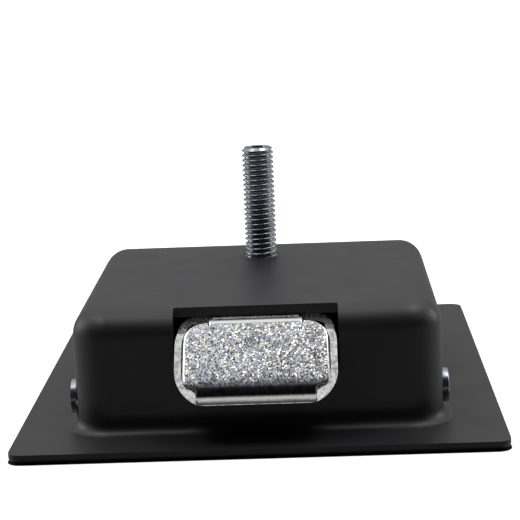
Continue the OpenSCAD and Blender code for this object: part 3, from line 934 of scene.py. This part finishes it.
    def burnish(self, sheet: Object, lip_top: float) -> None:
        """Draws the sheared rim down and marks what the press burnishes: rim, folds and lip.

        Args:
            sheet: Flat sheet in edit mode.
            lip_top: Where the upright lip starts along the blank.
        """
        on_line, past_ramp = self.reach
        mesh = bmesh.from_edit_mesh(sheet.data)
        mark = mesh.verts.layers.float.new(BURNISH)
        for vert in mesh.verts:
            along = vert.co.y / MM
            rim = vert.is_boundary and along < self.ramp_l + past_ramp
            bright = rim or along > self.ramp_l - on_line or along < lip_top + on_line
            vert[mark] = 1.0 if bright else SHEARED * min(1.0, max(0.0, 1 - along / self.fade))
            vert.select_set(rim)
        bmesh.update_edit_mesh(sheet.data)
        bpy.ops.transform.translate(value=(0, 0, -self.drop * MM))

    def fold(self, sheet: Object, line: float, turn_deg: float, side: int) -> None:
        """Turns the part of the sheet beyond one line downwards.

        Args:
            sheet: Sheet in edit mode.
            line: Fold line along the blank.
            turn_deg: Angle of the fold.
            side: -1 to turn the lower part, 1 to turn the upper part.
        """
        pick(sheet, Element.VERTS, lambda vert: (vert.co.y - line * MM) * side > CUT)
        bpy.ops.transform.rotate(value=math.radians(turn_deg) * side, orient_axis="X",
                                 center_override=(0, line * MM, 0))

    def make(self) -> None:
        """Folds the flap, gives it its thickness and rounded rim, and enters it on the bolt."""
        folds = ((-1, 0.0, self.nose_r, 90 - self.ramp_deg - self.bow_deg),
                 (1, self.ramp_l, self.ridge_r, self.ramp_deg - self.bow_deg))
        middle = self.ramp_l / 2
        marks = []
        for side, first, radius, turn in folds:
            step = self.chord(radius, turn)
            marks += [(side, first + side * step * i, turn / self.steps / (2 if i in (0, self.steps) else 1))
                      for i in reversed(range(self.steps + 1))]
            marks += [(side, middle + side * middle * share, self.bow_deg * part) for share, part in self.bow]
        ends = [first + side * self.steps * self.chord(radius, turn) for side, first, radius, turn in folds]
        sheet = self.blank(ends[0] - self.lip, ends[1] + self.roof_l, [line for _, line, _ in marks])
        with editing(sheet):
            for side, line, turn in marks:
                self.fold(sheet, line, turn, side)
        a = math.radians(self.ramp_deg)
        out = self.nose_r + self.sink
        sheet.rotation_euler = (a, 0, 0)
        sheet.location = (0, (self.axis[0] - out * math.sin(a)) * MM, (self.axis[1] + out * math.cos(a)) * MM)
        settle(sheet)
        thick = sheet.modifiers.new("sheet", "SOLIDIFY")
        thick.thickness = self.sheet * MM
        thick.offset = -1
        thick.use_even_offset = True
        apply_all(sheet)
        ease(sheet, self.ease_mm, self.sharp_deg)
        enter(sheet, Body.BOLT, Slot.ZINC, SHEET_ZINC)


@dataclass
class PlainPiece:
    """Solid that keeps its own mesh and gets a finish.

    Attributes:
        node: Name of the solid.
        finish: Finish that it gets.
    """

    node: str
    finish: Finish

    def make(self) -> None:
        """Dresses the solid."""
        dress(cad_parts[self.node], self.finish)
        LOG.info("solid %s dressed in %s", self.node, self.finish.name)


@dataclass
class Stud:
    """Pressed-in stud with a rolled metric thread, in millimetres.

    Attributes:
        y: Place of the axis.
        major_d: Diameter over the crests.
        pitch: Rise of one turn.
        depth: Depth of the thread, as a share of the pitch.
        crest_at: Where the crest lies in one turn's rise.
        crest: Rounding of the crest: share of the pitch from its middle, and depth there.
        root: Rounding of the root: share of the pitch from the crest's middle, and height there.
        turn_steps: Flats round one turn of the thread.
        lead: Turns that are wound past each end before it is cut.
        foot_z: Where the thread starts.
        top_z: End of the stud.
        chamfer: Chamfer at the end.
        cup_d: Diameter of the hollow in the end.
        cup: Depth of that hollow.
        cup_wall: Width of its sloping wall.
        collar_d: Diameter of the collar in the sheet.
        collar_over: How far the collar stands over the thread's start.
        ring_d: Diameter of the ring where the thread ends.
        ring_h: Height of that ring.
        ring_r: Rounding of that ring.
        head_d: Diameter of the head inside the dish.
        head_z: Underside of the head.
        head_top: Upper side of the head.
        head_r: Rounding of the head's rim.
        spare: How far the blank stands out beside the thread and below it before it is cut.
        weld_mm: Distance under which corners are welded together.
        sharp_deg: Angle over which an edge counts as sharp.
    """

    y: float = 7.5
    major_d: float = 8.0
    pitch: float = 1.25
    depth: float = 0.5629
    crest_at: float = 0.545
    crest: tuple[Span, ...] = ((0.155, 0.16), (0.105, 0.065), (0.055, 0.015))
    root: tuple[Span, ...] = ((0.445, 0.0), (0.405, 0.04))
    turn_steps: int = 40
    lead: float = 1.5
    foot_z: float = 30.25
    top_z: float = 58.0
    chamfer: float = 0.6
    cup_d: float = 4.2
    cup: float = 0.8
    cup_wall: float = 0.15
    collar_d: float = 8.4
    collar_over: float = 0.05
    ring_d: float = 7.5
    ring_h: float = 0.55
    ring_r: float = 0.32
    head_d: float = 12.0
    head_z: float = 24.3
    head_top: float = 26.3
    head_r: float = 0.4
    spare: Span = (0.2, 2.0)
    weld_mm: float = 0.002
    sharp_deg: float = 28.0

    def profile(self) -> list[Vec3]:
        """Gives one turn's section of the thread, from root to root.

        Returns:
            Points in metres, out along X and up along Z.
        """
        top = self.major_d / 2
        low = top - self.depth * self.pitch
        flank = [(off, low + up) for off, up in self.root] + [(off, top - down) for off, down in self.crest]
        marks = [(0.0, low), *((self.crest_at - off, r) for off, r in flank), (self.crest_at, top),
                 *((self.crest_at + off, r) for off, r in reversed(flank)), (1.0, low)]
        return [(r * MM, 0.0, share * self.pitch * MM) for share, r in marks]

    def thread(self) -> Object:
        """Winds the section up the stud and cuts both ends square.

        Returns:
            Threaded rod, closed at both ends.
        """
        rod = polyline("stud_threaded", self.profile())
        screw = rod.modifiers.new("wind", "SCREW")
        screw.axis = "Z"
        screw.screw_offset = self.pitch * MM
        screw.iterations = math.ceil((self.top_z - self.foot_z) / self.pitch + 2 * self.lead)
        screw.steps = screw.render_steps = self.turn_steps
        screw.use_merge_vertices = True
        screw.merge_threshold = TOUCH
        apply_all(rod)
        rod.location = (0, self.y * MM, (self.foot_z - self.lead * self.pitch) * MM)
        settle(rod)
        with editing(rod):
            weld(self.weld_mm)
            face_out()
            for z, low in ((self.foot_z, True), (self.top_z, False)):
                bpy.ops.mesh.select_all(action="SELECT")
                bpy.ops.mesh.bisect(plane_co=(0, self.y * MM, z * MM), plane_no=(0, 0, 1), use_fill=True,
                                    clear_inner=low, clear_outer=not low, threshold=CUT)
            face_out()
        return rod

    def turned(self, diameter: float, low: float, high: float) -> Object:
        """Turns a plain round on the stud's axis.

        Args:
            diameter: Its diameter.
            low: Its lower end.
            high: Its upper end.

        Returns:
            The round, settled in its place.
        """
        piece = start(bpy.ops.mesh.primitive_cylinder_add, vertices=ROUND, radius=diameter / 2 * MM,
                      depth=(high - low) * MM, location=(0, self.y * MM, (low + high) / 2 * MM))
        settle(piece)
        return piece

    @staticmethod
    def round_rim(piece: Object, z: float, width: float, steps: int) -> None:
        """Bevels the edges of a round in edit mode that lie at one height.

        Args:
            piece: Round in edit mode.
            z: Height of the edges.
            width: Width of the bevel.
            steps: Flats across it.
        """
        pick(piece, Element.EDGES, lambda edge: all(abs(v.co.z - z * MM) < TOUCH for v in edge.verts))
        bpy.ops.mesh.bevel(offset=width * MM, segments=steps, affect="EDGES")

    def blank(self) -> Object:
        """Turns the blank with the chamfered end that trims the thread.

        Returns:
            Chamfered blank.
        """
        beside, below = self.spare
        blank = self.turned(self.major_d + 2 * beside, self.foot_z - below, self.top_z)
        with editing(blank):
            self.round_rim(blank, self.top_z, self.chamfer + beside, 1)
            pick(blank, Element.FACES, lambda face: face.normal.z > FACING)
            bpy.ops.mesh.inset(thickness=(self.major_d / 2 - self.chamfer - self.cup_d / 2) * MM)
            bpy.ops.mesh.inset(thickness=self.cup_wall * MM)
            bpy.ops.transform.translate(value=(0, 0, -self.cup * MM))
        return blank

    def foot(self) -> Object:
        """Turns the head under the sheet, with its collar and the ring at the thread's end.

        Returns:
            Head with collar and ring.
        """
        foot = self.turned(self.head_d, self.head_z, self.head_top)
        collar_top = self.foot_z + self.collar_over
        steps = ((self.head_d, self.collar_d, collar_top - self.head_top),
                 (self.collar_d, self.ring_d, self.ring_h))
        with editing(foot):
            pick(foot, Element.FACES, lambda face: face.normal.z > FACING)
            for wide, narrow, rise in steps:
                bpy.ops.mesh.inset(thickness=(wide - narrow) / 2 * MM)
                bpy.ops.mesh.extrude_region_move(TRANSFORM_OT_translate={"value": (0, 0, rise * MM)})
            self.round_rim(foot, self.head_z, self.head_r, EASE_STEPS)
            self.round_rim(foot, collar_top + self.ring_h, self.ring_r, EASE_STEPS)
        return foot

    def make(self) -> None:
        """Builds the stud and enters it in place of its solid."""
        rod, blank = self.thread(), self.blank()
        trim = rod.modifiers.new("chamfer", "BOOLEAN")
        trim.operation = "INTERSECT"
        trim.solver = "EXACT"
        trim.object = blank
        apply_all(rod)
        bpy.data.objects.remove(blank)
        rod = join(rod, self.foot())
        smooth(rod, self.sharp_deg)
        enter(rod, Body.HOUSING, Slot.ZINC, PIN_ZINC, "stud")


@dataclass
class PivotPin:
    """Pivot pin through the dish, riveted over into a flat head on each side, in millimetres.

    Attributes:
        y: Place of the axis along the latch.
        z: Height of the axis.
        reach: Distance of the walls' outer faces from the middle.
        shank_d: Diameter of the pin.
        head_d: Diameter of the heads.
        head_h: Height of the heads.
        rim_r: Rounding of the heads' rims.
        rim_steps: Flats across that rounding.
        sharp_deg: Angle over which an edge counts as sharp.
    """

    y: float = -40.0
    z: float = 8.2
    reach: float = 41.75
    shank_d: float = 5.0
    head_d: float = 7.8
    head_h: float = 1.5
    rim_r: float = 0.35
    rim_steps: int = 4
    sharp_deg: float = 40.0

    def upset(self, pin: Object, side: int) -> None:
        """Upsets one end of the pin into its head.

        Args:
            pin: Pin in edit mode.
            side: -1 for the left end, 1 for the right end.
        """
        pick(pin, Element.FACES, lambda face: face.normal.x * side > FACING)
        bpy.ops.mesh.extrude_region_move(TRANSFORM_OT_translate={"value": (0, 0, 0)})
        grow = self.head_d / self.shank_d
        bpy.ops.transform.resize(value=(1, grow, grow),
                                 center_override=(side * self.reach * MM, self.y * MM, self.z * MM))
        bpy.ops.mesh.extrude_region_move(TRANSFORM_OT_translate={"value": (side * self.head_h * MM, 0, 0)})
        end = side * (self.reach + self.head_h) * MM
        pick(pin, Element.EDGES, lambda edge: all(abs(v.co.x - end) < TOUCH for v in edge.verts))
        bpy.ops.mesh.bevel(offset=self.rim_r * MM, segments=self.rim_steps, affect="EDGES")

    def make(self) -> None:
        """Builds the pin and enters it in place of its solid."""
        pin = start(bpy.ops.mesh.primitive_cylinder_add, "pivot_pin_riveted", vertices=ROUND,
                    radius=self.shank_d / 2 * MM, depth=2 * self.reach * MM,
                    location=(0, self.y * MM, self.z * MM), rotation=(0, math.pi / 2, 0))
        settle(pin)
        with editing(pin):
            for side in (-1, 1):
                self.upset(pin, side)
            face_out()
        smooth(pin, self.sharp_deg)
        enter(pin, Body.HOUSING, Slot.ZINC, PIN_ZINC, "pivot_pin")


@dataclass
class BoltSpring:
    """Compression spring round the guide rod, in millimetres.

    Attributes:
        start_y: First end of the coil, at the bolt's tail.
        end_y: Last end of the coil, at the bracket.
        axis_z: Height of the axis.
        mean_r: Radius to the middle of the wire.
        wire_d: Diameter of the wire.
        turns: Number of turns, with a closed turn at each end.
        closed: Rise of a closed turn, in diameters of the wire.
        travel: How far the bolt goes in; not used.
        wire_sides: Flats round the wire.
        turn_steps: Flats round one turn.
        weld_mm: Distance under which corners are welded together.
        sharp_deg: Angle over which an edge counts as sharp.
    """

    start_y: float = -13.8
    end_y: float = 14.5
    axis_z: float = 18.5
    mean_r: float = 3.8
    wire_d: float = 1.2
    turns: float = 7.5
    closed: float = 1.02
    travel: float = 11.66
    wire_sides: int = 14
    turn_steps: int = 36
    weld_mm: float = 0.02
    sharp_deg: float = 40.0

    def stretch(self, turns: float, rise: float, along: float, from_turn: float) -> Object:
        """Winds one stretch of the coil.

        Args:
            turns: Turns in this stretch.
            rise: Length of this stretch along the axis.
            along: Where it starts, from the first end.
            from_turn: Turns already wound.

        Returns:
            Open tube of this stretch.
        """
        coil = start(bpy.ops.mesh.primitive_circle_add, vertices=self.wire_sides, radius=self.wire_d / 2 * MM)
        with editing(coil):
            bpy.ops.mesh.select_all(action="SELECT")
            bpy.ops.transform.translate(value=(self.mean_r * MM, 0, 0))
        screw = coil.modifiers.new("wind", "SCREW")
        screw.axis = "Y"
        screw.angle = 2 * math.pi * turns
        screw.screw_offset = rise * MM
        screw.steps = screw.render_steps = round(self.turn_steps * turns)
        screw.use_merge_vertices = False
        apply_all(coil)
        coil.rotation_euler = (0, 2 * math.pi * from_turn, 0)
        coil.location = (0, (self.start_y + self.wire_d / 2 + along) * MM, self.axis_z * MM)
        settle(coil)
        return coil

    def make(self) -> None:
        """Winds the closed ends and the open turns, and enters the spring in place of its solid."""
        length = self.end_y - self.start_y
        run = length - self.wire_d
        dead = self.wire_d * self.closed
        spring = join(self.stretch(1, dead, 0, 0),
                      self.stretch(self.turns - 2, run - 2 * dead, dead, 1),
                      self.stretch(1, dead, run - dead, self.turns - 1))
        spring.name = "bolt_spring_wound"
        with editing(spring):
            weld(self.weld_mm)
            bpy.ops.mesh.select_all(action="DESELECT")
            bpy.ops.mesh.select_non_manifold()
            bpy.ops.mesh.fill_holes(sides=0)
            face_out()
        smooth(spring, self.sharp_deg)
        enter(spring, Body.HOUSING, Slot.SPRING, WIRE, "bolt_spring")
        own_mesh(spring)


@dataclass(frozen=True)
class Panel:
    """Soft light panel that faces the latch, in metres.

    Attributes:
        name: Name of the light.
        place: Middle of the panel.
        aim: Height of the point over the origin that it faces.
        size: Width and length.
        watts: Its power.
    """

    name: str
    place: Vec3
    aim: float
    size: Span
    watts: float

    def make(self) -> None:
        """Hangs the panel."""
        lamp = start(bpy.ops.object.light_add, self.name, type="AREA", location=self.place)
        lamp.data.shape = "RECTANGLE"
        lamp.data.size, lamp.data.size_y = self.size
        lamp.data.energy = self.watts
        way = Vector((0.0, 0.0, self.aim)) - Vector(self.place)
        lamp.rotation_euler = way.to_track_quat("-Z", "Y").to_euler()


@dataclass
class Studio:
    """Pale sweep, soft light from above and the camera.

    Attributes:
        eye: Camera's place in millimetres.
        turn_deg: Camera's turn about X, Y and Z.
        focal_px: Focal length in pixels of the square picture.
        picture_px: Side of the picture.
        sensor_mm: Width of the camera's sensor.
        clip_m: Nearest and farthest that the camera sees.
        sweep_m: Side of the sweep.
        sweep_place: Middle of the sweep in metres.
        sweep_cuts: Cuts across the sweep.
        shadow_card: Width and length of the black sheet under the flange, a little larger than the flange so
            that its rim shows round the flange's foot as a painted contact shadow.
        shadow_card_z: Height of the card in metres.
        shadow_card_r: Radius of its corners.
        shadow_card_steps: Flats of those corners.
        front_sky: Brightness of the room before the latch, from straight down (0) to straight up (1).
        back_sky: Brightness of the room behind it.
        seam: Directions along Y (-1 to 1) between which the front turns into the back.
        blue: How much bluer than grey the room is.
        panels: Soft panels over and beside the latch.
    """

    eye: Vec3 = (14.368, -419.309, 117.252)
    turn_deg: Vec3 = (78.3036, 2.2628, 1.517)
    focal_px: float = 1710.376
    picture_px: float = 520.0
    sensor_mm: float = 36.0
    clip_m: Span = (0.01, 50.0)
    sweep_m: float = 9.0
    sweep_place: Vec3 = (0.0, 2.5, -0.0001)
    sweep_cuts: int = 3
    shadow_card: Span = (110.4, 130.4)
    shadow_card_z: float = -0.00005
    shadow_card_r: float = 3.2
    shadow_card_steps: int = 6
    front_sky: Sky = ((0.0, 0.05), (0.312, 0.05), (0.334, 0.95), (0.372, 0.95), (0.382, 0.05), (0.402, 0.05),
                      (0.41, 0.3), (0.43, 0.3), (0.44, 0.03), (0.505, 0.01), (0.8, 0.015), (0.9, 0.03),
                      (0.95, 0.1), (0.975, 0.42), (0.99, 0.75), (1.0, 1.0))
    back_sky: Sky = ((0.0, 0.5), (0.495, 0.5), (0.505, 0.28), (0.6, 0.29), (0.75, 0.66), (0.92, 1.1),
                     (1.0, 1.1))
    seam: Span = (-0.4, 0.1)
    blue: float = 1.01
    panels: tuple[Panel, ...] = (
        Panel("overhead_left", (-0.4, -0.1, 0.95), 0.02, (0.56, 0.3), 2.25),
        Panel("overhead_right", (0.38, 0.0, 1.0), 0.02, (0.56, 0.3), 2.25),
        Panel("side_left", (-1.0, 0.35, 0.35), 0.04, (0.4, 0.5), 2.5),
        Panel("side_right", (1.0, 0.35, 0.35), 0.04, (0.4, 0.5), 1.9))

    def floor(self) -> None:
        """Lays the sweep, and a black sheet under the flange that keeps light from coming up into the dish;
        the rim of it that shows round the flange is a painted contact shadow.
        """
        sweep = start(bpy.ops.mesh.primitive_plane_add, "sweep", size=self.sweep_m, location=self.sweep_place)
        settle(sweep)
        with editing(sweep):
            bpy.ops.mesh.select_all(action="SELECT")
            bpy.ops.mesh.subdivide(number_cuts=self.sweep_cuts)
        dress(sweep, PAPER)
        sweep.visible_glossy = False
        sweep.visible_diffuse = False
        # Black sheet a little larger than the flange: it keeps light from below out of the dish, and its rim
        # round the flange's foot is a painted contact shadow.
        shadow_card = start(bpy.ops.mesh.primitive_plane_add, "shadow_card", size=MM, location=(0, 0, self.shadow_card_z))
        shadow_card.scale = (*self.shadow_card, 1)
        settle(shadow_card)
        with editing(shadow_card):
            bpy.ops.mesh.select_all(action="SELECT")
            bpy.ops.mesh.bevel(offset=self.shadow_card_r * MM, segments=self.shadow_card_steps, affect="VERTICES")
        dress(shadow_card, SHADOW_CARD)

    def light(self) -> None:
        """Sets the soft sky of the room and hangs the panels."""
        world = bpy.data.worlds.new("soft_sky")
        bpy.context.scene.world = world
        world.use_nodes = True
        tree = world.node_tree
        tree.nodes.clear()
        way = add_node(tree, "ShaderNodeTexCoord").outputs["Generated"]
        parts = add_node(tree, "ShaderNodeSeparateXYZ", {}, {"Vector": way})
        share = add_node(tree, "ShaderNodeMapRange", {"From Min": -1.0, "From Max": 1.0},
                         {"Value": parts.outputs["Z"]})
        sides = []
        for sky in (self.front_sky, self.back_sky):
            ramp = add_node(tree, "ShaderNodeValToRGB", {}, {"Fac": share.outputs["Result"]})
            set_stops(ramp.color_ramp, [(at, (level, level, level * self.blue, 1.0)) for at, level in sky])
            sides.append(ramp.outputs["Color"])
        behind = add_node(tree, "ShaderNodeMapRange", {
            "interpolation_type": "SMOOTHSTEP", "From Min": self.seam[0], "From Max": self.seam[1]},
            {"Value": parts.outputs["Y"]})
        room = add_node(tree, "ShaderNodeMix", {"data_type": "RGBA"},
                        {0: behind.outputs["Result"], 6: sides[0], 7: sides[1]})
        glow = add_node(tree, "ShaderNodeBackground", {"Strength": 1.0}, {"Color": room.outputs[2]})
        add_node(tree, "ShaderNodeOutputWorld", {}, {"Surface": glow.outputs["Background"]})
        for panel in self.panels:
            panel.make()

    def camera(self) -> None:
        """Places the camera and sets plain colour handling."""
        eye = start(bpy.ops.object.camera_add, "camera", location=[v * MM for v in self.eye],
                    rotation=[math.radians(v) for v in self.turn_deg])
        eye.data.sensor_width = self.sensor_mm
        eye.data.sensor_fit = "HORIZONTAL"
        eye.data.lens = self.sensor_mm * self.focal_px / self.picture_px
        eye.data.clip_start, eye.data.clip_end = self.clip_m
        scene = bpy.context.scene
        scene.camera = eye
        scene.view_settings.view_transform = "Standard"
        scene.view_settings.look = "None"

    def make(self) -> None:
        """Sets floor, light and camera."""
        self.floor()
        self.light()
        self.camera()


def main() -> None:
    """Builds the latch's pieces in order."""
    logging.basicConfig(level=logging.INFO, format="%(name)s: %(message)s")
    Studio().make()
    for piece in (
        FlangedPan("pan", Body.HOUSING, Slot.COAT, COAT, ease_mm=0.3),
        EasedPiece("paddle", Body.PADDLE, Slot.COAT, COAT, ease_mm=0.3),
        BoltTube("bolt", Body.BOLT, Slot.ZINC, TUBE_ZINC, ease_mm=0.25, weld_mm=0.06),
        FoldedFlap(),
        EasedPiece("yoke", Body.PADDLE, Slot.ZINC, STAMPED_ZINC, ease_mm=0.15),
        EasedPiece("spring_bracket", Body.HOUSING, Slot.ZINC, STAMPED_ZINC, ease_mm=0.15),
        EasedPiece("clip_left", Body.BOLT, Slot.SPRING, RING_STEEL, ease_mm=0.1),
        EasedPiece("clip_right", Body.BOLT, Slot.SPRING, RING_STEEL, ease_mm=0.1),
        EasedPiece("drive_pin", Body.BOLT, Slot.ZINC, PIN_ZINC, ease_mm=0.12),
        EasedPiece("spacer_left", Body.HOUSING, Slot.ZINC, PIN_ZINC),
        EasedPiece("spacer_right", Body.HOUSING, Slot.ZINC, PIN_ZINC),
        PivotPin(),
        PlainPiece("guide_rod", PIN_ZINC),
        Stud(),
        BoltSpring(),
    ):
        piece.make()


if __name__ == "__main__":
    main()
